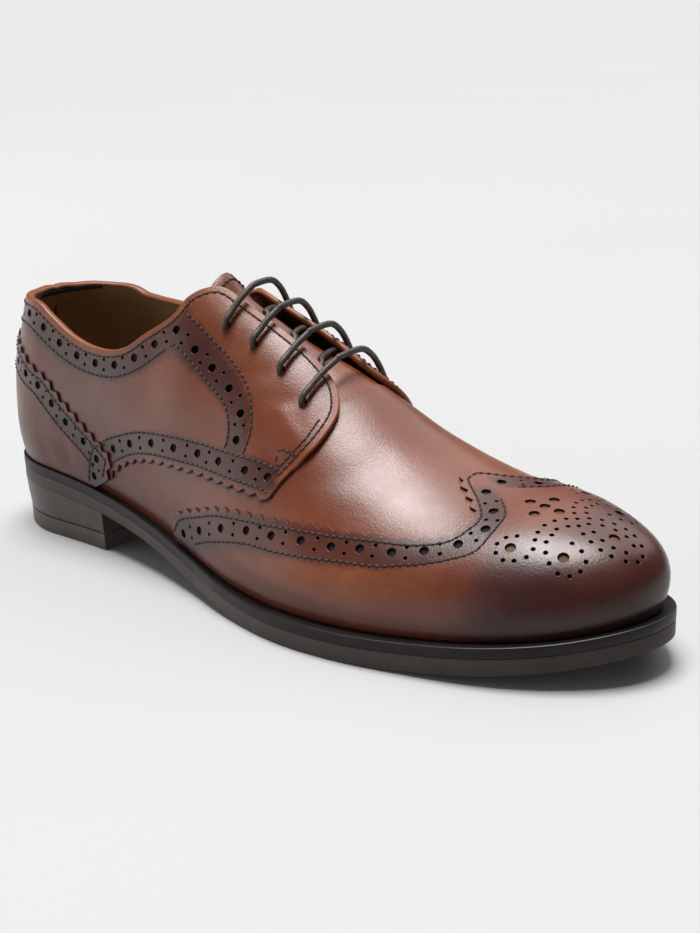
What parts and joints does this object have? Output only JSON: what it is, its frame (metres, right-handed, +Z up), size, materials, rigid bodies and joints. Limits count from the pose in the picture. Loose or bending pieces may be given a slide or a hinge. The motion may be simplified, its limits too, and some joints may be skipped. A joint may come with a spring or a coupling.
{
  "type": "wing-tip derby shoe",
  "caption": "Right-foot wing-tip derby brogue in burnished brown leather, with open lacing, a perforated wing cap and heel counter, a dark welted sole and a block heel.",
  "frame": {"origin": "centre of the heel's flat bottom, on the floor the shoe stands on", "axes": "+X from heel to toe, +Y to the wearer's left (the inner, medial side of this right shoe), +Z up"},
  "size_m": [0.304, 0.1047, 0.1095],
  "materials": {
    "upper": "satin",
    "wing_cap": "satin",
    "facing_lateral": "satin",
    "facing_medial": "satin",
    "heel_counter": "satin",
    "tongue": "satin",
    "insole": "matte",
    "welt": "satin",
    "outsole": "satin",
    "heel": "satin",
    "top_piece": "matte",
    "lace": "matte"
  },
  "bodies": {
    "root": {"upper": "upper", "wing_cap": "wing_cap", "facing_lateral": "facing_lateral", "facing_medial": "facing_medial", "heel_counter": "heel_counter", "tongue": "tongue", "insole": "insole", "welt": "welt", "outsole": "outsole", "heel": "heel", "top_piece": "top_piece", "lace": "lace"}
  },
  "joints": []
}
